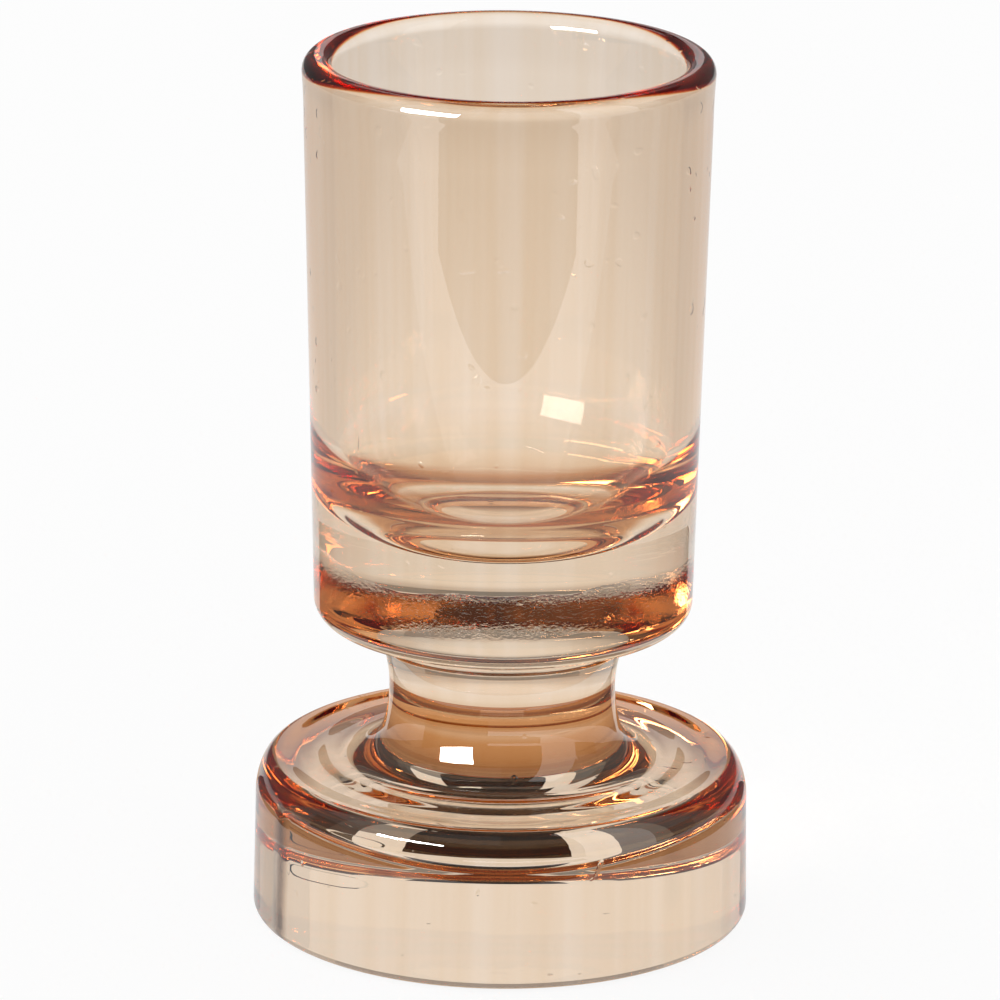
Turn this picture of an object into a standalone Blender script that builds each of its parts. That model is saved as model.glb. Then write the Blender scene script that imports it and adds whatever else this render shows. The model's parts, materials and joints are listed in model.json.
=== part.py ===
"""Glass candlestick: a thick-walled cup on a short waisted stem and a solid round foot.

The three sections a glasshouse works in, cup, stem and foot, are separate solids that
share one vertical axis. Each is a turned profile, listed from the axis at its top,
out and down its outer side, to the axis at its bottom. The hair-thin gaps between
them are the two planes where the hot glass is fused.
"""

import math

import bpy

# Driving dimensions, in metres. The origin is the centre of the foot's underside.
TOTAL_HEIGHT = 0.1239
FUSED_GAP = 0.0003

FOOT_HEIGHT = 0.0227
FOOT_RADIUS = 0.0350
FOOT_DRAFT = 0.0003
FOOT_SHOULDER_WIDTH = 0.0030
FOOT_SHOULDER_DEPTH = 0.0060
FOOT_BOTTOM_EDGE = 0.0014

WAIST_RADIUS = 0.0159
WAIST_HEIGHT = 0.0328
WAIST_CURVE = 0.0200
FOOT_FILLET = 0.0064
CUP_FILLET = 0.0042

CUP_UNDERSIDE_HEIGHT = 0.0430
CUP_UNDERSIDE_SLOPE = 17.0
CUP_BOTTOM_RADIUS = 0.0266
CUP_TOP_RADIUS = 0.0282
CUP_BOTTOM_EDGE = 0.0032
CUP_FLOOR_HEIGHT = 0.0556
CUP_FLOOR_CURVE = 0.0164
CUP_INSIDE_RADIUS = 0.0234

RIM_RADIUS = 0.0285
RIM_BEAD = 0.00215
RIM_BLEND = 0.1000

TURN_STEPS = 64
ARC_STEPS_SMALL = 5
ARC_STEPS_LARGE = 8
SHARP_ANGLE = math.radians(35.0)

PART_COLLECTION = "glass_candlestick"
AMBER_GLASS = (0.86, 0.62, 0.42, 1.0)
GLASS_ROUGHNESS = 0.04
GLASS_IOR = 1.5


def clear_scene():
    """Remove every object that is already in the scene."""
    for item in list(bpy.data.objects):
        bpy.data.objects.remove(item, do_unlink=True)


def part_collection():
    """Return an empty collection for the parts, linked to the scene."""
    collection = bpy.data.collections.new(PART_COLLECTION)
    bpy.context.scene.collection.children.link(collection)
    return collection


def amber_glass(name):
    """Return a smooth, pale amber glass material."""
    material = bpy.data.materials.new(name)
    material.use_nodes = True
    shader = material.node_tree.nodes["Principled BSDF"]
    shader.inputs["Base Color"].default_value = AMBER_GLASS
    shader.inputs["Roughness"].default_value = GLASS_ROUGHNESS
    shader.inputs["Metallic"].default_value = 0.0
    shader.inputs["IOR"].default_value = GLASS_IOR
    shader.inputs["Transmission Weight"].default_value = 1.0
    return material


def arc(centre, radius, start, end, steps):
    """Return points on an arc in the profile plane; angles are in degrees from +X."""
    points = []
    for step in range(steps + 1):
        angle = math.radians(start + (end - start) * step / steps)
        x = centre[0] + radius * math.cos(angle)
        z = centre[1] + radius * math.sin(angle)
        points.append((x, z))
    return points


def turned(name, profile, collection):
    """Turn a profile of (radius, height) points about the Z axis into a solid."""
    mesh = bpy.data.meshes.new(name)
    points = [(x, 0.0, z) for x, z in profile]
    edges = [(index, index + 1) for index in range(len(points) - 1)]
    mesh.from_pydata(points, edges, [])
    solid = bpy.data.objects.new(name, mesh)
    collection.objects.link(solid)

    screw = solid.modifiers.new("turn", "SCREW")
    screw.axis = "Z"
    screw.angle = math.tau
    screw.steps = TURN_STEPS
    screw.render_steps = TURN_STEPS
    screw.use_merge_vertices = True
    screw.merge_threshold = 0.00001
    screw.use_smooth_shade = True
    mesh.shade_smooth()
    mesh.set_sharp_from_angle(angle=SHARP_ANGLE)
    mesh.materials.append(amber_glass(name + "_glass"))
    return solid


def foot_profile():
    """Solid puck: flat top, a tall elliptical shoulder, a slight draft, a soft lower edge."""
    shoulder_x = FOOT_RADIUS - FOOT_DRAFT - FOOT_SHOULDER_WIDTH
    shoulder_z = FOOT_HEIGHT - FOOT_SHOULDER_DEPTH
    quarter = arc((0.0, 0.0), 1.0, 90, 0, ARC_STEPS_LARGE)
    shoulder = [(shoulder_x + FOOT_SHOULDER_WIDTH * x, shoulder_z + FOOT_SHOULDER_DEPTH * z)
                for x, z in quarter]
    bottom_centre = (FOOT_RADIUS - FOOT_BOTTOM_EDGE, FOOT_BOTTOM_EDGE)
    bottom_edge = arc(bottom_centre, FOOT_BOTTOM_EDGE, 0, -90, ARC_STEPS_SMALL)
    return [(0.0, FOOT_HEIGHT)] + shoulder + bottom_edge + [(0.0, 0.0)]


def waist_fillet(fillet, turn):
    """Return the centre of a fillet that leaves the waist curve `turn` degrees round."""
    reach = WAIST_CURVE - fillet
    x = WAIST_RADIUS + WAIST_CURVE - reach * math.cos(math.radians(turn))
    z = WAIST_HEIGHT + reach * math.sin(math.radians(turn))
    return (x, z)


def cup_corner():
    """Return the centre of the rounded edge between the cup's wall and its underside."""
    return (CUP_BOTTOM_RADIUS - CUP_BOTTOM_EDGE, CUP_UNDERSIDE_HEIGHT + CUP_BOTTOM_EDGE)


def upper_turn():
    """Return how far round the waist curve the fillet under the cup starts, in degrees.

    The fillet runs from the waist curve into the underside, which dips to the stem.
    """
    slope = math.radians(CUP_UNDERSIDE_SLOPE)
    corner = cup_corner()
    across = WAIST_RADIUS + WAIST_CURVE - corner[0]
    up = corner[1] - WAIST_HEIGHT
    away = across * math.sin(slope) + up * math.cos(slope) - CUP_BOTTOM_EDGE
    turn = math.asin((away - CUP_FILLET) / (WAIST_CURVE - CUP_FILLET)) - slope
    return math.degrees(turn)


def neck_top():
    """Return the point where the stem's upper fillet meets the cup's underside."""
    centre = waist_fillet(CUP_FILLET, upper_turn())
    slope = math.radians(CUP_UNDERSIDE_SLOPE)
    return (centre[0] - CUP_FILLET * math.sin(slope), centre[1] + CUP_FILLET * math.cos(slope))


def stem_profile():
    """Short waisted column that flares into a concave fillet at both ends."""
    top = neck_top()[1] - FUSED_GAP
    bottom = FOOT_HEIGHT + FUSED_GAP
    waist_centre = (WAIST_RADIUS + WAIST_CURVE, WAIST_HEIGHT)

    # The upper flare stops at the fused plane under the cup.
    upper = upper_turn()
    upper_centre = waist_fillet(CUP_FILLET, upper)
    top_cut = math.degrees(math.asin((top - upper_centre[1]) / CUP_FILLET))
    upper_flare = arc(upper_centre, CUP_FILLET, 180 - top_cut, 180 - upper, ARC_STEPS_LARGE)

    # The lower flare would end flat on the foot, and stops at the fused plane above it.
    drop = WAIST_HEIGHT - FOOT_HEIGHT - FOOT_FILLET
    lower = math.degrees(math.asin(drop / (WAIST_CURVE - FOOT_FILLET)))
    lower_centre = waist_fillet(FOOT_FILLET, -lower)
    bottom_cut = math.degrees(math.asin((lower_centre[1] - bottom) / FOOT_FILLET))
    lower_flare = arc(lower_centre, FOOT_FILLET, 180 + lower, 180 + bottom_cut, ARC_STEPS_LARGE)

    waist = arc(waist_centre, WAIST_CURVE, 180 - upper, 180 + lower, ARC_STEPS_LARGE)
    return [(0.0, top)] + upper_flare + waist[1:-1] + lower_flare + [(0.0, bottom)]


def rim_profile():
    """Rounded lip that runs in one long shallow curve down into the outer wall."""
    centre = (RIM_RADIUS - RIM_BEAD, TOTAL_HEIGHT - RIM_BEAD)
    across = CUP_TOP_RADIUS + RIM_BLEND - centre[0]
    down = math.sqrt((RIM_BEAD + RIM_BLEND) ** 2 - across ** 2)
    turn = math.degrees(math.atan2(down, across))
    lip = arc(centre, RIM_BEAD, 180, -turn, 2 * ARC_STEPS_SMALL)
    blend_centre = (CUP_TOP_RADIUS + RIM_BLEND, centre[1] - down)
    blend = arc(blend_centre, RIM_BLEND, 180 - turn, 180, ARC_STEPS_SMALL)
    return lip + blend[1:]


def cup_profile():
    """Thick tumbler: bowl-shaped floor, straight bore, rounded rim, heavy base."""
    floor_centre = (CUP_INSIDE_RADIUS - CUP_FLOOR_CURVE, CUP_FLOOR_HEIGHT + CUP_FLOOR_CURVE)
    floor_corner = arc(floor_centre, CUP_FLOOR_CURVE, -90, 0, ARC_STEPS_LARGE)
    bottom_edge = arc(cup_corner(), CUP_BOTTOM_EDGE, 0, CUP_UNDERSIDE_SLOPE - 90, ARC_STEPS_LARGE)
    neck = neck_top()
    underside = [neck, (0.0, neck[1])]
    return [(0.0, CUP_FLOOR_HEIGHT)] + floor_corner + rim_profile() + bottom_edge + underside


clear_scene()
candlestick = part_collection()
turned("foot", foot_profile(), candlestick)
turned("stem", stem_profile(), candlestick)
turned("cup", cup_profile(), candlestick)
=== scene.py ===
"""Glass candlestick: the finished glass, its studio and its camera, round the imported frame."""

import json
import math

import bmesh
import bpy
from mathutils import Matrix, Vector


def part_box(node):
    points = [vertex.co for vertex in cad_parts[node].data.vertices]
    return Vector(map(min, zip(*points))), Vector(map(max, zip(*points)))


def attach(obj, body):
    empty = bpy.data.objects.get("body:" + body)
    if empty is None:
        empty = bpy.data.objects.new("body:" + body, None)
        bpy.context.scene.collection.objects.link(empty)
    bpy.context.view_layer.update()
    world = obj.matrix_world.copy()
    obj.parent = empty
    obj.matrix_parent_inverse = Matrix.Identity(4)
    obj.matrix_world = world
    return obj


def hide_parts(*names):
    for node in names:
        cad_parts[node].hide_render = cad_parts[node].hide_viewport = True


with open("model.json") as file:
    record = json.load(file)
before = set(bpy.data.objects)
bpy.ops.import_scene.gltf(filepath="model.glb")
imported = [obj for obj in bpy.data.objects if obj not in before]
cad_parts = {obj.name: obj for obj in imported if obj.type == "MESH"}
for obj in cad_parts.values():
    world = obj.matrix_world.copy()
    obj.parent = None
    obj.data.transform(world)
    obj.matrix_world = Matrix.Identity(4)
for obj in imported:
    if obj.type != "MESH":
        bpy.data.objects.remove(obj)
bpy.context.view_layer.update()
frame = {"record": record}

# ---------------------------------------------------------------- sizes, in metres
FOOT_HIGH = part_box("foot")[1]
CUP_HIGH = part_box("cup")[1]
MOUNTS = {mount["name"]: mount for mount in frame["record"]["mounts"]}

TOTAL_HEIGHT = CUP_HIGH[2]
FOOT_RADIUS = FOOT_HIGH[0]
FOOT_HEIGHT = FOOT_HIGH[2]
FOOT_DRAFT = 0.0003
FOOT_TOP_EDGE = 0.0030
FOOT_SHOULDER = 0.0060
FOOT_BOTTOM_EDGE = 0.0014

WAIST_RADIUS = 0.0159
WAIST_HEIGHT = 0.0328
WAIST_CURVE = 0.0200
FOOT_FILLET = 0.0064
CUP_FILLET = 0.0042

CUP_UNDERSIDE = 0.0430
CUP_BOTTOM_RADIUS = 0.0266
CUP_TOP_RADIUS = 0.0282
CUP_BOTTOM_EDGE = 0.0032
UNDERSIDE_SLOPE = 17.0
CUP_FLOOR = MOUNTS["cup_floor"]["pos_m"][2]
CUP_FLOOR_CURVE = 0.0164
CUP_INSIDE_RADIUS = 0.0234

RIM_RADIUS = CUP_HIGH[0]
RIM_BEAD = 0.00215
RIM_BLEND = 0.1000

SOCKET_DEPTH = 0.0010
WELD_GAP = 0.00002
TURN_STEPS = 256

# ---------------------------------------------------------------- colours of the glass
FILM_THIN = (0.955, 0.870, 0.775)
FILM_THICK = (0.925, 0.815, 0.690)
FILM_BOUNCE = (0.84, 0.53, 0.31)
GLASS_IOR = 1.52
FILM_MIRROR = 0.045
# Painted shade: the film is darkened to this along the mould seam.
SEAM_PAINTED_SHADE = (0.30, 0.22, 0.17)

# Relief of the pressed surface, in metres, and the cycles per metre of its noise.
WAVE_STRETCH = (38.0, 38.0, 22.0)
STREAK_STRETCH = (150.0, 150.0, 7.0)
SEED_STRETCH = (420.0, 420.0, 420.0)
CHILL_EDGE_STRETCH = (60.0, 60.0, 60.0)
CHILL_GRAIN_STRETCH = (1500.0, 1500.0, 2600.0)
SEAM_WANDER_STRETCH = (20.0, 20.0, 160.0)
FILM_BAND_STRETCH = (260.0, 260.0, 5.0)
WAVE_HEIGHT = 0.00004
STREAK_HEIGHT = 0.000012
SEED_HEIGHT = 0.00003
SEED_RANGE = (0.80, 0.86)
CHILL_LOW = 0.0470
CHILL_HIGH = 0.0515
CHILL_EDGE_HEIGHT = 0.005
CHILL_HEIGHT = 0.000028
SEAM_AZIMUTH = -63.0
SEAM_WIDTH = 0.0028
SEAM_WANDER = 0.0010
SEAM_HEIGHT = 0.00012
DISH_DEPTH = 0.0004
DISH_INNER = (0.0232, 0.0272)
DISH_OUTER = (0.0284, 0.0314)


# ---------------------------------------------------------------- turned glass
def arc(centre, radius, start, end, steps):
    """Return points on an arc in the profile plane; angles are in degrees from +X."""
    points = []
    for step in range(steps + 1):
        angle = math.radians(start + (end - start) * step / steps)
        x = centre[0] + radius * math.cos(angle)
        z = centre[1] + radius * math.sin(angle)
        points.append((x, z))
    return points


def run(start, end, steps):
    """Return the points between two profile points, both ends left out."""
    points = []
    for step in range(1, steps):
        share = step / steps
        x = start[0] + (end[0] - start[0]) * share
        z = start[1] + (end[1] - start[1]) * share
        points.append((x, z))
    return points


def fillet_centre(fillet, turn):
    """Return the centre of a fillet that leaves the waist curve `turn` radians round."""
    reach = WAIST_CURVE - fillet
    x = WAIST_RADIUS + WAIST_CURVE - reach * math.cos(turn)
    z = WAIST_HEIGHT + reach * math.sin(turn)
    return (x, z)


def upper_turn():
    """Return how far round the waist curve the fillet under the cup starts."""
    slope = math.radians(UNDERSIDE_SLOPE)
    across = WAIST_RADIUS + WAIST_CURVE - (CUP_BOTTOM_RADIUS - CUP_BOTTOM_EDGE)
    up = CUP_UNDERSIDE + CUP_BOTTOM_EDGE - WAIST_HEIGHT
    away = across * math.sin(slope) + up * math.cos(slope) - CUP_BOTTOM_EDGE
    return math.asin((away - CUP_FILLET) / (WAIST_CURVE - CUP_FILLET)) - slope


UPPER_TURN = upper_turn()
LOWER_TURN = math.asin((WAIST_HEIGHT - FOOT_HEIGHT - FOOT_FILLET) / (WAIST_CURVE - FOOT_FILLET))
UPPER_CENTRE = fillet_centre(CUP_FILLET, UPPER_TURN)
LOWER_CENTRE = fillet_centre(FOOT_FILLET, -LOWER_TURN)
NECK_TOP = (UPPER_CENTRE[0] - CUP_FILLET * math.sin(math.radians(UNDERSIDE_SLOPE)),
            UPPER_CENTRE[1] + CUP_FILLET * math.cos(math.radians(UNDERSIDE_SLOPE)))


def foot_outline():
    """Solid puck, from the rim of its socket outwards and down to its underside."""
    top_radius = FOOT_RADIUS - FOOT_DRAFT
    bottom_centre = (FOOT_RADIUS - FOOT_BOTTOM_EDGE, FOOT_BOTTOM_EDGE)
    socket_edge = (LOWER_CENTRE[0], FOOT_HEIGHT)
    shoulder = arc((0.0, 0.0), 1.0, 90, 0, 32)
    top_edge = []
    for x, z in shoulder:
        across = top_radius - FOOT_TOP_EDGE * (1.0 - x)
        top_edge.append((across, FOOT_HEIGHT - FOOT_SHOULDER * (1.0 - z)))
    bottom_edge = arc(bottom_centre, FOOT_BOTTOM_EDGE, 0, -90, 14)
    flat = run(socket_edge, top_edge[0], 8)
    wall = run(top_edge[-1], bottom_edge[0], 20)
    under = run(bottom_edge[-1], (0.0, 0.0), 10)
    return [socket_edge] + flat + top_edge + wall + bottom_edge + under + [(0.0, 0.0)]


def stem_outline():
    """Waisted column between the cup's underside and the foot's top, both ends tangent."""
    centre = (WAIST_RADIUS + WAIST_CURVE, WAIST_HEIGHT)
    upper = math.degrees(UPPER_TURN)
    lower = math.degrees(LOWER_TURN)
    upper_fillet = arc(UPPER_CENTRE, CUP_FILLET, 90 + UNDERSIDE_SLOPE, 180 - upper, 20)
    waist = arc(centre, WAIST_CURVE, 180 - upper, 180 + lower, 28)
    lower_fillet = arc(LOWER_CENTRE, FOOT_FILLET, 180 + lower, 270, 24)
    return upper_fillet + waist[1:-1] + lower_fillet


def cup_outline():
    """Thick tumbler, from the middle of its floor up, over the rim and down to the stem."""
    floor_centre = (CUP_INSIDE_RADIUS - CUP_FLOOR_CURVE, CUP_FLOOR + CUP_FLOOR_CURVE)
    floor = arc(floor_centre, CUP_FLOOR_CURVE, -90, 0, 36)
    rim_centre = (RIM_RADIUS - RIM_BEAD, TOTAL_HEIGHT - RIM_BEAD)
    across = CUP_TOP_RADIUS + RIM_BLEND - rim_centre[0]
    down = math.sqrt((RIM_BEAD + RIM_BLEND) ** 2 - across ** 2)
    turn = math.degrees(math.atan2(down, across))
    rim = arc(rim_centre, RIM_BEAD, 180, -turn, 36)
    blend_centre = (CUP_TOP_RADIUS + RIM_BLEND, rim_centre[1] - down)
    blend = arc(blend_centre, RIM_BLEND, 180 - turn, 180, 10)
    corner_centre = (CUP_BOTTOM_RADIUS - CUP_BOTTOM_EDGE, CUP_UNDERSIDE + CUP_BOTTOM_EDGE)
    corner = arc(corner_centre, CUP_BOTTOM_EDGE, 0, UNDERSIDE_SLOPE - 90, 24)

    outline = [(0.0, CUP_FLOOR)] + floor
    outline += run(floor[-1], rim[0], 24) + rim + blend[1:]
    outline += run(blend[-1], corner[0], 36) + corner
    outline += run(corner[-1], NECK_TOP, 4) + [NECK_TOP]
    return outline


def turned_piece(name, outline, weld_before, weld_after, materials):
    """Turn an outline about Z. Its weld faces close it and take the second material."""
    profile = weld_before + outline + weld_after
    first_glass = len(weld_before)
    last_glass = first_glass + len(outline) - 1
    build = bmesh.new()
    rings = [turned_ring(build, x, z) for x, z in profile]
    for index in range(len(rings) - 1):
        hidden = index < first_glass or index >= last_glass
        join_rings(build, rings[index], rings[index + 1], 1 if hidden else 0)
    bmesh.ops.recalc_face_normals(build, faces=build.faces)
    mesh = bpy.data.meshes.new(name)
    build.to_mesh(mesh)
    build.free()
    for material in materials:
        mesh.materials.append(material)
    mesh.shade_smooth()
    mesh.set_sharp_from_angle(angle=math.radians(30.0))
    piece = bpy.data.objects.new(name, mesh)
    bpy.context.scene.collection.objects.link(piece)
    return piece


def turned_ring(build, radius, height):
    """Add one ring of vertices, or a single one on the axis."""
    if radius < 1e-7:
        return [build.verts.new((0.0, 0.0, height))]
    ring = []
    for step in range(TURN_STEPS):
        angle = math.tau * step / TURN_STEPS
        ring.append(build.verts.new((radius * math.cos(angle), radius * math.sin(angle), height)))
    return ring


def join_rings(build, upper, lower, slot):
    """Fill the band between two neighbouring rings."""
    if len(upper) == 1 and len(lower) == 1:
        return
    for step in range(TURN_STEPS):
        after = (step + 1) % TURN_STEPS
        if len(upper) == 1:
            corners = (upper[0], lower[step], lower[after])
        elif len(lower) == 1:
            corners = (upper[step], lower[0], upper[after])
        else:
            corners = (upper[step], lower[step], lower[after], upper[after])
        build.faces.new(corners).material_index = slot


# ---------------------------------------------------------------- materials
def node(tree, kind, x, y, **settings):
    """Add a node at a place in the tree and set its plain properties."""
    made = tree.nodes.new(kind)
    made.location = (x, y)
    for key, value in settings.items():
        setattr(made, key, value)
    return made


def calculate(tree, operation, first, second, x, y):
    """Add a Math node; each operand is a number or an output."""
    made = node(tree, "ShaderNodeMath", x, y, operation=operation)
    for index, value in enumerate((first, second)):
        if isinstance(value, (int, float)):
            made.inputs[index].default_value = value
        elif value is not None:
            tree.links.new(value, made.inputs[index])
    return made.outputs[0]


def noise(tree, place, stretch, detail, x, y):
    """Add noise over the object; the stretch is in cycles per metre along X, Y and Z."""
    scaled = node(tree, "ShaderNodeVectorMath", x, y, operation="MULTIPLY")
    scaled.inputs[1].default_value = stretch
    tree.links.new(place, scaled.inputs[0])
    made = node(tree, "ShaderNodeTexNoise", x + 180, y)
    made.inputs["Scale"].default_value = 1.0
    made.inputs["Detail"].default_value = detail
    tree.links.new(scaled.outputs[0], made.inputs["Vector"])
    return made.outputs["Fac"]


def between(tree, value, low, high, x, y):
    """Map a value to 0 below `low` and 1 above `high`, smoothly."""
    made = node(tree, "ShaderNodeMapRange", x, y, interpolation_type="SMOOTHSTEP")
    made.inputs["From Min"].default_value = low
    made.inputs["From Max"].default_value = high
    tree.links.new(value, made.inputs["Value"])
    return made.outputs["Result"]


def relief_height(tree, place, marks, seam):
    """Height of the pressed surface: soft waves, drawn streaks, seeds and mould marks."""
    waves = noise(tree, place, WAVE_STRETCH, 1.0, -2300, 900)
    height = calculate(tree, "MULTIPLY", waves, WAVE_HEIGHT, -1900, 900)
    streaks = noise(tree, place, STREAK_STRETCH, 2.0, -2300, 700)
    streaks = calculate(tree, "MULTIPLY", streaks, STREAK_HEIGHT, -1900, 700)
    height = calculate(tree, "ADD", height, streaks, -1700, 800)
    seeds = noise(tree, place, SEED_STRETCH, 0.0, -2300, 500)
    seeds = between(tree, seeds, *SEED_RANGE, -1900, 500)
    seeds = calculate(tree, "MULTIPLY", seeds, SEED_HEIGHT, -1700, 500)
    height = calculate(tree, "ADD", height, seeds, -1500, 700)
    if "chill" in marks:
        chill = chill_marks(tree, place)
        height = calculate(tree, "ADD", height, chill, -1300, 600)
    if "seam" in marks:
        ridge = calculate(tree, "MULTIPLY", seam, SEAM_HEIGHT, -1500, 400)
        height = calculate(tree, "ADD", height, ridge, -1300, 400)
        height = calculate(tree, "SUBTRACT", height, foot_dish(tree, place), -1150, 400)
    return height


def chill_marks(tree, place):
    """Fine slanting wrinkles where the cup's thick base first met the cold mould."""
    parts = node(tree, "ShaderNodeSeparateXYZ", -2300, 200)
    tree.links.new(place, parts.inputs[0])
    edge = noise(tree, place, CHILL_EDGE_STRETCH, 3.0, -2300, 50)
    edge = calculate(tree, "MULTIPLY", edge, CHILL_EDGE_HEIGHT, -1900, 50)
    level = calculate(tree, "SUBTRACT", parts.outputs["Z"], edge, -1700, 100)
    above = between(tree, level, CHILL_LOW - 0.0015, CHILL_LOW, -1500, 150)
    below = between(tree, level, CHILL_HIGH, CHILL_HIGH + 0.0006, -1500, 0)
    below = calculate(tree, "SUBTRACT", 1.0, below, -1300, 0)
    band = calculate(tree, "MULTIPLY", above, below, -1150, 100)
    grain = noise(tree, place, CHILL_GRAIN_STRETCH, 2.0, -2300, -150)
    grain = calculate(tree, "MULTIPLY", grain, CHILL_HEIGHT, -1900, -150)
    return calculate(tree, "MULTIPLY", grain, band, -1000, 0)


def mould_seam(tree, place):
    """Low ridge down the foot's wall on both sides, where the mould's halves closed."""
    across = toward(SEAM_AZIMUTH + 90.0, 0.0)
    offset = node(tree, "ShaderNodeVectorMath", -2300, -400, operation="DOT_PRODUCT")
    offset.inputs[1].default_value = across
    tree.links.new(place, offset.inputs[0])
    wander = noise(tree, place, SEAM_WANDER_STRETCH, 2.0, -2300, -550)
    wander = calculate(tree, "MULTIPLY", wander, SEAM_WANDER, -1900, -550)
    away = calculate(tree, "SUBTRACT", offset.outputs["Value"], wander, -1700, -450)
    away = calculate(tree, "ABSOLUTE", away, None, -1500, -450)
    ridge = between(tree, away, 0.0, SEAM_WIDTH, -1300, -450)
    ridge = calculate(tree, "SUBTRACT", 1.0, ridge, -1150, -450)
    parts = node(tree, "ShaderNodeSeparateXYZ", -1500, -650)
    tree.links.new(place, parts.inputs[0])
    low, high = FOOT_HEIGHT - FOOT_SHOULDER, FOOT_HEIGHT - 0.001
    under = between(tree, parts.outputs["Z"], low, high, -1300, -650)
    under = calculate(tree, "SUBTRACT", 1.0, under, -1150, -650)
    return calculate(tree, "MULTIPLY", ridge, under, -1000, -500)


def foot_dish(tree, place):
    """Depth of the shallow ring pressed into the foot's top, between the stem and the shoulder."""
    flat = node(tree, "ShaderNodeVectorMath", -2300, -1300, operation="MULTIPLY")
    flat.inputs[1].default_value = (1.0, 1.0, 0.0)
    tree.links.new(place, flat.inputs[0])
    radius = node(tree, "ShaderNodeVectorMath", -2100, -1300, operation="LENGTH")
    tree.links.new(flat.outputs[0], radius.inputs[0])
    inner = between(tree, radius.outputs["Value"], *DISH_INNER, -1900, -1250)
    outer = between(tree, radius.outputs["Value"], *DISH_OUTER, -1900, -1400)
    outer = calculate(tree, "SUBTRACT", 1.0, outer, -1700, -1400)
    ring = calculate(tree, "MULTIPLY", inner, outer, -1500, -1300)
    parts = node(tree, "ShaderNodeSeparateXYZ", -1900, -1550)
    tree.links.new(place, parts.inputs[0])
    low, high = FOOT_HEIGHT - 0.0015, FOOT_HEIGHT - 0.0003
    top = between(tree, parts.outputs["Z"], low, high, -1700, -1550)
    ring = calculate(tree, "MULTIPLY", ring, top, -1300, -1400)
    return calculate(tree, "MULTIPLY", ring, DISH_DEPTH, -1150, -1400)


def clear_glass(name, film, marks=()):
    """Clear pressed glass; with the film on, its skin is a thin amber lustre.

    Light that the film throws back inside the glass takes a deeper tint, FILM_BOUNCE.
    """
    material = bpy.data.materials.new(name)
    material.use_nodes = True
    tree = material.node_tree
    tree.nodes.clear()
    extra = FILM_MIRROR if film else 0.0

    place = node(tree, "ShaderNodeTexCoord", -2600, 400).outputs["Object"]
    relief = node(tree, "ShaderNodeBump", -700, 600)
    relief.inputs["Strength"].default_value = 1.0
    relief.inputs["Distance"].default_value = 1.0
    seam = mould_seam(tree, place) if "seam" in marks else None
    tree.links.new(relief_height(tree, place, marks, seam), relief.inputs["Height"])
    normal = relief.outputs["Normal"]

    fresnel = node(tree, "ShaderNodeFresnel", -900, 200)
    fresnel.inputs["IOR"].default_value = GLASS_IOR
    tree.links.new(normal, fresnel.inputs["Normal"])
    mirror_share = node(tree, "ShaderNodeMath", -700, 200, operation="MULTIPLY_ADD")
    mirror_share.inputs[1].default_value = 1.0 - extra
    mirror_share.inputs[2].default_value = extra
    tree.links.new(fresnel.outputs[0], mirror_share.inputs[0])

    through = node(tree, "ShaderNodeBsdfRefraction", -450, 0)
    through.inputs["IOR"].default_value = GLASS_IOR
    through.inputs["Roughness"].default_value = 0.0
    tree.links.new(normal, through.inputs["Normal"])
    mirror = node(tree, "ShaderNodeBsdfAnisotropic", -450, -250)
    mirror.inputs["Roughness"].default_value = 0.0
    tree.links.new(normal, mirror.inputs["Normal"])

    if film:
        film_tints(tree, place, seam, through, mirror)
    else:
        through.inputs["Color"].default_value = (1.0, 1.0, 1.0, 1.0)
        mirror.inputs["Color"].default_value = (1.0, 1.0, 1.0, 1.0)

    mix = node(tree, "ShaderNodeMixShader", -200, 0)
    tree.links.new(mirror_share.outputs[0], mix.inputs[0])
    tree.links.new(through.outputs[0], mix.inputs[1])
    tree.links.new(mirror.outputs[0], mix.inputs[2])
    output = node(tree, "ShaderNodeOutputMaterial", 0, 0)
    tree.links.new(mix.outputs[0], output.inputs["Surface"])
    return material


def film_tints(tree, place, seam, through, mirror):
    """Tint what passes the film, in drawn bands and with painted shade along the mould seam, and
    what it throws back inside the glass.
    """
    bands = noise(tree, place, FILM_BAND_STRETCH, 4.0, -1300, -900)
    bands = between(tree, bands, 0.30, 0.70, -900, -900)
    once = colour_mix(tree, bands, FILM_THIN, FILM_THICK, -700, -50)
    if seam is not None:
        # painted shade along the mould seam
        once = colour_mix(tree, seam, once, SEAM_PAINTED_SHADE, -600, -50)
    side = node(tree, "ShaderNodeNewGeometry", -1100, -250)
    inside = side.outputs["Backfacing"]
    back = colour_mix(tree, inside, (1.0, 1.0, 1.0), FILM_BOUNCE, -600, -250)
    tree.links.new(once, through.inputs["Color"])
    tree.links.new(back, mirror.inputs["Color"])


def colour_mix(tree, share, first, second, x, y):
    """Mix two colours; each is a tuple or an output."""
    made = node(tree, "ShaderNodeMix", x, y, data_type="RGBA")
    tree.links.new(share, made.inputs["Factor"])
    for socket, value in ((made.inputs["A"], first), (made.inputs["B"], second)):
        if isinstance(value, tuple):
            socket.default_value = (*value, 1.0)
        else:
            tree.links.new(value, socket)
    return made.outputs["Result"]


def weld_glass():
    """The inside of the fused glass, where cup, stem and foot run into each other."""
    material = bpy.data.materials.new("fused_inside")
    material.use_nodes = True
    material.node_tree.nodes["Principled BSDF"].inputs["Alpha"].default_value = 0.0
    return material


# ---------------------------------------------------------------- studio
FLOOR_SIZE = 6.0
FLOOR_GLOW = 0.90
FLOOR_WHITE = 0.08
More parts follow.
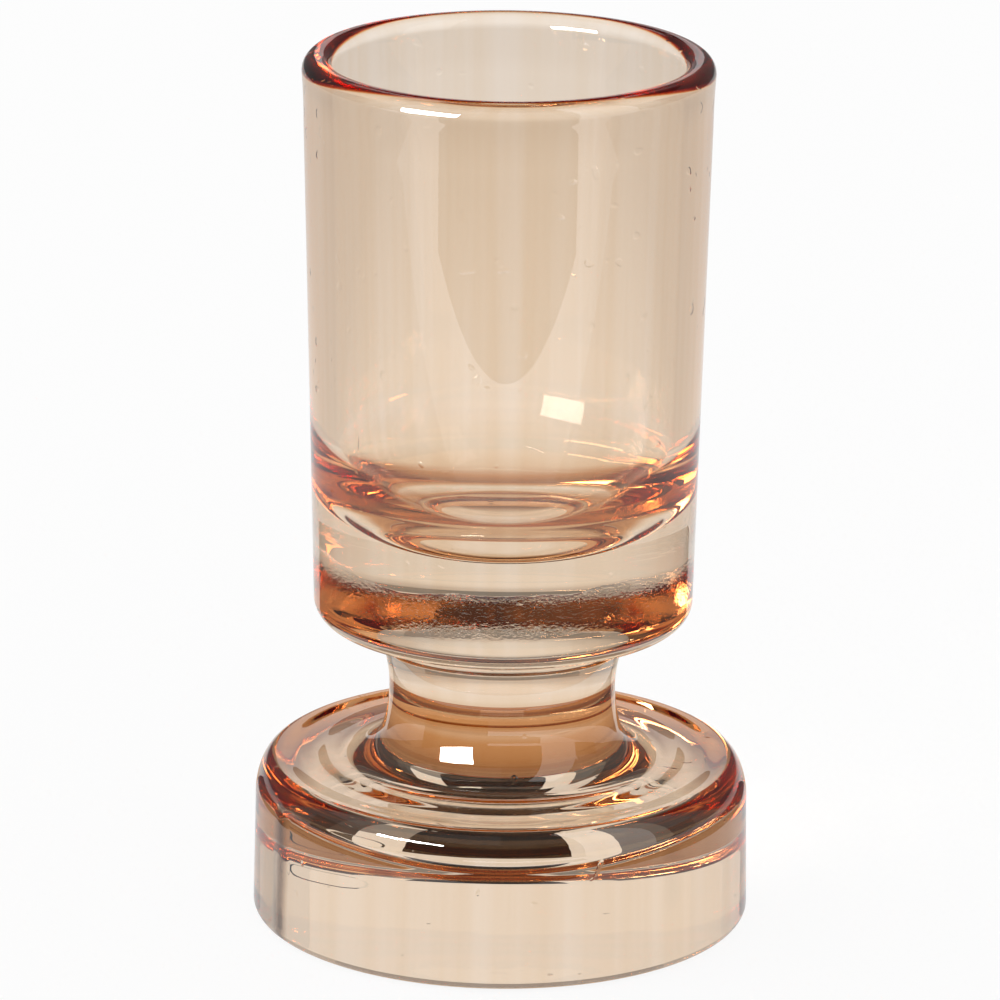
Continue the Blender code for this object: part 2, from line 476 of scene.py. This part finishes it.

# The floor's glow as the glass meets it, a painted amber shadow of the glass under and round the
# foot: distance from the axis, and colour there.
PAINTED_SHADOW_UNDER_FOOT = [(0.0, (0.82, 0.68, 0.54)), (0.013, (0.82, 0.68, 0.54)), (0.018, (0.76, 0.59, 0.43)),
              (0.028, (0.80, 0.61, 0.43)), (0.0336, (0.34, 0.18, 0.09))]
PAINTED_SHADOW_NEAR_FOOT = [(0.0336, (0.30, 0.17, 0.09)), (0.050, (0.46, 0.23, 0.10)), (0.066, (0.62, 0.34, 0.16)),
             (0.086, (0.88, 0.76, 0.63)), (0.110, (0.96, 0.92, 0.86)), (0.180, (0.98, 0.98, 0.98))]
SIDE_SHADE = [(0.0, (0.98, 0.98, 0.98)), (0.080, (0.97, 0.97, 0.97)), (0.160, (0.76, 0.74, 0.72)),
              (0.500, (0.60, 0.57, 0.55))]
SHADED_FLOOR = (2.0, -0.2, 2.5)

# Floor as mirrored light meets it: name, inner and outer radius, brightness.
MIRRORED_FLOOR = [
    ("floor_mirrored_near", 0.0345, 0.083, 0.80),
    ("floor_mirrored_far", 0.083, 0.190, 0.12),
]
SECTOR_END = 140.0
SECTOR_STEPS = 56

# Dome, the dark opening in front, and the flags; angles in degrees.
DOME_RADIUS = 1.5
FLAG_DOME_RADIUS = 1.3
OPENING = 39.0
OPENING_NEAR = 0.274
OPENING_FAR = 2.8
FLAG_RADIUS = 0.058
FLAG_HEIGHTS = (0.0185, 0.0310)
FLAG_START = -72.0
EDGE_FLAG = (100.0, 172.0)
EDGE_FLAG_LEVEL = 0.15

LAMP_SIZE = (0.58, 0.40)
LAMP_POWER = 44.0
LAMP_AZIMUTH = -44.0
LAMP_ELEVATION = 12.0
LAMP_DISTANCE = 1.0

# Surroundings of the glass: name, azimuths from the camera's side, elevations, brightness.
# Each entry stands on both sides, unless its name ends in left or right.
SURROUNDINGS = [
    ("horizon_back", 150, 180, -2, 12, 0.30),
    ("horizon_wing", 120, 150, -2, 12, 0.45),
    ("horizon_end_left", 75, 120, -2, 12, 0.15),
    ("horizon_end_right", 75, 120, -2, 12, 0.06),
    ("horizon_side_left", 39, 75, -2, 12, 0.15),
    ("horizon_side_right", 39, 75, -2, 12, 0.85),
    ("backdrop", 140, 180, 12, 24, 0.92),
    ("backdrop_wing_left", 124, 140, 12, 24, 0.88),
    ("backdrop_wing_right", 124, 140, 12, 24, 0.80),
    ("backdrop_end_left", 105, 124, 12, 24, 0.80),
    ("backdrop_end_right", 105, 124, 12, 24, 0.50),
    ("screen_low_left", 39, 105, 12, 31, 0.12),
    ("screen_low_right", 39, 75, 12, 31, 0.95),
    ("screen_end_right", 75, 105, 12, 31, 0.20),
    ("screen_near_left", 39, 75, 31, 65, 0.15),
    ("screen_near_right", 39, 75, 31, 65, 1.00),
    ("screen_far_left", 75, 110, 31, 65, 0.30),
    ("screen_far_right", 75, 110, 31, 65, 0.30),
    ("ceiling_back", 110, 143, 24, 65, 0.06),
    ("ceiling_turn_left", 143, 158, 24, 54, 0.15),
    ("ceiling_panel_left", 158, 168, 24, 54, 0.95),
    ("ceiling_turn_right", 143, 151, 24, 54, 0.10),
    ("ceiling_panel_right", 151, 163, 32, 46, 0.30),
    ("ceiling_gap_left", 168, 180, 24, 54, 0.02),
    ("ceiling_gap_right", 163, 180, 24, 54, 0.02),
    ("ceiling_high", 163, 180, 54, 65, 0.03),
    ("ceiling_high_left", 143, 163, 54, 65, 0.90),
    ("ceiling_high_right", 143, 163, 54, 65, 0.03),
    ("ceiling_front_left", 0, 39, 31, 65, 0.20),
    ("ceiling_front_right", 0, 39, 31, 65, 0.10),
    ("top", 0, 180, 65, 90, 0.05),
]


def floor_material():
    """Pale, glowing light-table surface."""
    material = bpy.data.materials.new("pale_floor")
    material.use_nodes = True
    shader = material.node_tree.nodes["Principled BSDF"]
    shader.inputs["Base Color"].default_value = (FLOOR_WHITE, FLOOR_WHITE, FLOOR_WHITE, 1.0)
    shader.inputs["Roughness"].default_value = 1.0
    shader.inputs["Specular IOR Level"].default_value = 0.0
    shader.inputs["Emission Color"].default_value = (1.0, 1.0, 1.0, 1.0)
    shader.inputs["Emission Strength"].default_value = FLOOR_GLOW
    return material


def studio_object(name, corners, faces, material):
    """Add a plain mesh to the scene."""
    mesh = bpy.data.meshes.new(name)
    mesh.from_pydata(corners, [], faces)
    mesh.materials.append(material)
    made = bpy.data.objects.new(name, mesh)
    bpy.context.scene.collection.objects.link(made)
    return made


def card_material(name, level):
    """A card of an even brightness, black at 0 and white at 1."""
    material = bpy.data.materials.new(name)
    material.use_nodes = True
    shader = material.node_tree.nodes["Principled BSDF"]
    shader.inputs["Base Color"].default_value = (0.0, 0.0, 0.0, 1.0)
    shader.inputs["Specular IOR Level"].default_value = 0.0
    shader.inputs["Emission Color"].default_value = (1.0, 1.0, 1.0, 1.0)
    shader.inputs["Emission Strength"].default_value = level
    return material


def only_for_glass(card, seen_through):
    """Only the glass sees the card: it doesn't light or shade the floor."""
    card.visible_camera = False
    card.visible_diffuse = False
    card.visible_shadow = False
    card.visible_transmission = seen_through


def toward(azimuth, elevation):
    """Return a direction: azimuth in degrees, 0 to the camera's side and growing to the right."""
    around = math.radians(azimuth)
    up = math.radians(elevation)
    return Vector((math.sin(around) * math.cos(up), -math.cos(around) * math.cos(up), math.sin(up)))


def dome_card(name, azimuths, elevations, level, seen_through=True, radius=DOME_RADIUS):
    """Part of a dome round the glass, of one brightness."""
    columns = max(2, round(abs(azimuths[1] - azimuths[0]) / 5))
    rows = max(2, round((elevations[1] - elevations[0]) / 5))
    centre = Vector((0.0, 0.0, TOTAL_HEIGHT / 2))
    corners = []
    for row in range(rows + 1):
        elevation = elevations[0] + (elevations[1] - elevations[0]) * row / rows
        for column in range(columns + 1):
            azimuth = azimuths[0] + (azimuths[1] - azimuths[0]) * column / columns
            corners.append(centre + toward(azimuth, elevation) * radius)
    faces = []
    for row in range(rows):
        for column in range(columns):
            first = row * (columns + 1) + column
            faces.append((first, first + 1, first + columns + 2, first + columns + 1))
    card = studio_object(name, corners, faces, card_material(name, level))
    only_for_glass(card, seen_through)


def light_world():
    """Even white light from all round."""
    world = bpy.data.worlds.new("light_tent")
    world.use_nodes = True
    background = world.node_tree.nodes["Background"]
    background.inputs["Color"].default_value = (1.0, 1.0, 1.0, 1.0)
    background.inputs["Strength"].default_value = 1.0
    bpy.context.scene.world = world


def softbox(name, size, power, azimuth, elevation, distance):
    """An area lamp facing the cup."""
    lamp = bpy.data.lights.new(name, "AREA")
    lamp.shape = "RECTANGLE"
    lamp.size, lamp.size_y = size
    lamp.energy = power
    offset = toward(azimuth, elevation)
    holder = bpy.data.objects.new(name, lamp)
    holder.location = Vector((0.0, 0.0, TOTAL_HEIGHT / 2)) + offset * distance
    holder.rotation_euler = offset.to_track_quat("Z", "Y").to_euler()
    holder.visible_camera = False
    holder.visible_diffuse = False
    bpy.context.scene.collection.objects.link(holder)


def glow_by_distance(name, stops, sideways=False):
    """Light that changes with distance from the axis, or mostly sideways."""
    material = bpy.data.materials.new(name)
    material.use_nodes = True
    tree = material.node_tree
    shader = tree.nodes["Principled BSDF"]
    shader.inputs["Base Color"].default_value = (0.0, 0.0, 0.0, 1.0)
    shader.inputs["Specular IOR Level"].default_value = 0.0
    shader.inputs["Emission Strength"].default_value = 1.0
    place = node(tree, "ShaderNodeNewGeometry", -900, 0)
    weight = node(tree, "ShaderNodeVectorMath", -700, 0, operation="MULTIPLY")
    weight.inputs[1].default_value = (1.0, 0.3, 0.0) if sideways else (1.0, 1.0, 0.0)
    length = node(tree, "ShaderNodeVectorMath", -600, 0, operation="LENGTH")
    share = node(tree, "ShaderNodeMapRange", -500, 0)
    share.inputs["From Max"].default_value = stops[-1][0]
    ramp = node(tree, "ShaderNodeValToRGB", -300, 0)
    marks = ramp.color_ramp.elements
    while len(marks) < len(stops):
        marks.new(0.5)
    for mark, (radius, colour) in zip(marks, stops):
        mark.position = radius / stops[-1][0]
        mark.color = (*colour, 1.0)
    tree.links.new(place.outputs["Position"], weight.inputs[0])
    tree.links.new(weight.outputs[0], length.inputs[0])
    tree.links.new(length.outputs["Value"], share.inputs["Value"])
    tree.links.new(share.outputs["Result"], ramp.inputs["Fac"])
    tree.links.new(ramp.outputs["Color"], shader.inputs["Emission Color"])
    return material


def floor_ring(name, inner, outer, material):
    """A flat ring just above the floor."""
    corners = []
    for radius in (inner, outer):
        for step in range(96):
            angle = math.tau * step / 96
            corners.append((radius * math.cos(angle), radius * math.sin(angle), -0.0001))
    faces = [(step, (step + 1) % 96, 96 + (step + 1) % 96, 96 + step) for step in range(96)]
    return studio_object(name, corners, faces, material)


def paint_floor_shade():
    """Painted shadow of the amber glass: glowing floor rings under and round the foot, tinted and
    darkened as the glass would shade them, and the floor behind, shaded darker to the sides.
    """
    under = glow_by_distance("painted_shadow_under_foot", PAINTED_SHADOW_UNDER_FOOT)
    floor_ring("painted_shadow_under_foot", 0.0001, PAINTED_SHADOW_UNDER_FOOT[-1][0], under)
    near = glow_by_distance("painted_shadow_near_foot", PAINTED_SHADOW_NEAR_FOOT)
    only_for_glass(floor_ring("painted_shadow_near_foot", PAINTED_SHADOW_NEAR_FOOT[0][0], PAINTED_SHADOW_NEAR_FOOT[-1][0], near), True)
    side, front, back = SHADED_FLOOR
    outline = ((-side, front), (side, front), (side, back), (-side, back))
    corners = [(x, y, -0.00015) for x, y in outline]
    shade = glow_by_distance("floor_behind", SIDE_SHADE, True)
    only_for_glass(studio_object("floor_behind", corners, [(0, 1, 2, 3)], shade), True)


def front_opening():
    """The dark opening the camera looks through: a wedge of floor, and a dome card above it."""
    near, far = OPENING_NEAR, OPENING_FAR
    spread = math.tan(math.radians(OPENING - 1.0))
    corners = [(-near * spread, -near, 0.0), (near * spread, -near, 0.0),
               (far * spread, -far, 0.0), (-far * spread, -far, 0.0)]
    black = card_material("opening_floor", 0.0)
    only_for_glass(studio_object("opening_floor", corners, [(0, 1, 2, 3)], black), False)
    dome_card("opening", (-OPENING, OPENING), (0, 31), 0.0, False)


def floor_sector(name, inner, outer, level):
    """Part of a flat ring of even brightness, round the front and sides of the foot."""
    corners = []
    for radius in (inner, outer):
        for step in range(SECTOR_STEPS + 1):
            azimuth = -SECTOR_END + 2.0 * SECTOR_END * step / SECTOR_STEPS
            corners.append(toward(azimuth, 0.0) * radius - Vector((0.0, 0.0, 0.00005)))
    row = SECTOR_STEPS + 1
    faces = [(step, step + 1, row + step + 1, row + step) for step in range(SECTOR_STEPS)]
    only_for_glass(studio_object(name, corners, faces, card_material(name, level)), False)


def reflection_flags():
    """What only mirrored light meets: a black card by the foot, floor, and a card at each side."""
    corners = []
    for height in FLAG_HEIGHTS:
        for step in range(13):
            foot_point = toward(FLAG_START + 5.0 * step, 0.0) * FLAG_RADIUS
            corners.append(foot_point + Vector((0.0, 0.0, height)))
    faces = [(step, step + 1, step + 14, step + 13) for step in range(12)]
    flag = studio_object("flag_by_foot", corners, faces, card_material("flag_by_foot", 0.0))
    only_for_glass(flag, False)
    for name, inner, outer, level in MIRRORED_FLOOR:
        floor_sector(name, inner, outer, level)
    for side in (1.0, -1.0):
        azimuths = (side * EDGE_FLAG[0], side * EDGE_FLAG[1])
        dome_card("flag_edge", azimuths, (-2, 36), EDGE_FLAG_LEVEL, False, FLAG_DOME_RADIUS)


def make_studio():
    """Floor, light from all round, the painted shadow round the foot, and the cards and lamp that
    only the glass sees.
    """
    light_world()
    half = FLOOR_SIZE / 2
    corners = [(x * half, y * half, -0.0002) for x, y in ((-1, -1), (1, -1), (1, 1), (-1, 1))]
    studio_object("floor", corners, [(0, 1, 2, 3)], floor_material())
    for name, near, far, low, high, level in SURROUNDINGS:
        if not name.endswith("_left"):
            dome_card(name + "_r", (near, far), (low, high), level)
        if not name.endswith("_right"):
            dome_card(name + "_l", (-near, -far), (low, high), level)
    front_opening()
    paint_floor_shade()
    reflection_flags()
    softbox("window_lamp", LAMP_SIZE, LAMP_POWER, LAMP_AZIMUTH, LAMP_ELEVATION, LAMP_DISTANCE)


# ---------------------------------------------------------------- camera
CAMERA_DISTANCE = 0.968
CAMERA_HEIGHT = 0.3602
CAMERA_SIDE = -0.0006
CAMERA_PITCH = 17.23
CAMERA_ROLL = 0.633
CAMERA_LENS = 261.0
CAMERA_SENSOR = 36.0


def make_camera():
    """A long lens, a little above the rim and looking down at the foot."""
    data = bpy.data.cameras.new("camera")
    data.lens = CAMERA_LENS
    data.sensor_width = CAMERA_SENSOR
    data.clip_start = 0.01
    camera = bpy.data.objects.new("camera", data)
    tilt = Matrix.Rotation(math.radians(90.0 - CAMERA_PITCH), 4, "X")
    roll = Matrix.Rotation(math.radians(CAMERA_ROLL), 4, "Z")
    place = Matrix.Translation((CAMERA_SIDE, -CAMERA_DISTANCE, CAMERA_HEIGHT))
    camera.matrix_world = place @ tilt @ roll
    bpy.context.scene.collection.objects.link(camera)
    bpy.context.scene.camera = camera


def make_glass():
    """The three fused sections, each standing for its own solid."""
    inside = weld_glass()
    socket = FOOT_HEIGHT - SOCKET_DEPTH
    plug = NECK_TOP[1] + SOCKET_DEPTH
    stem_top = NECK_TOP[0] - WELD_GAP
    stem_foot = LOWER_CENTRE[0] - WELD_GAP

    cup_weld = [(NECK_TOP[0], plug), (0.0, plug)]
    cup_skin = clear_glass("cup_glass", True, ("chill",))
    cup_materials = [cup_skin, inside, clear_glass("bare_bore", False)]
    cup = turned_piece("cup_glass", cup_outline(), [], cup_weld, cup_materials)
    for face in cup.data.polygons:
        inwards = face.normal[0] * face.center[0] + face.normal[1] * face.center[1] < 0.0
        floor = face.center[2] < CUP_FLOOR + 0.0001 and face.normal[2] > 0.9
        if face.material_index == 0 and (inwards or floor):
            face.material_index = 2

    stem_before = [(0.0, plug - WELD_GAP), (stem_top, plug - WELD_GAP)]
    stem_after = [(stem_foot, socket + WELD_GAP), (0.0, socket + WELD_GAP)]
    stem = turned_piece("stem_glass", stem_outline(), stem_before, stem_after,
                        [clear_glass("stem_glass", True), inside])

    foot_before = [(0.0, socket), (LOWER_CENTRE[0], socket)]
    foot_skin = clear_glass("foot_glass", True, ("seam",))
    foot_materials = [foot_skin, inside, clear_glass("bare_underside", False)]
    foot = turned_piece("foot_glass", foot_outline(), foot_before, [], foot_materials)
    for face in foot.data.polygons:
        if face.center[2] < 0.0001:
            face.material_index = 2

    for piece, part in ((cup, "cup"), (stem, "stem"), (foot, "foot")):
        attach(piece, "root")
        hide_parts(part)


def set_light_paths():
    """Enough bounces for light to leave thick glass, and plain colours."""
    scene = bpy.context.scene
    scene.cycles.max_bounces = 48
    scene.cycles.transmission_bounces = 48
    scene.cycles.glossy_bounces = 48
    scene.cycles.transparent_max_bounces = 64
    scene.view_settings.view_transform = "Standard"


make_camera()
make_glass()
make_studio()
set_light_paths()
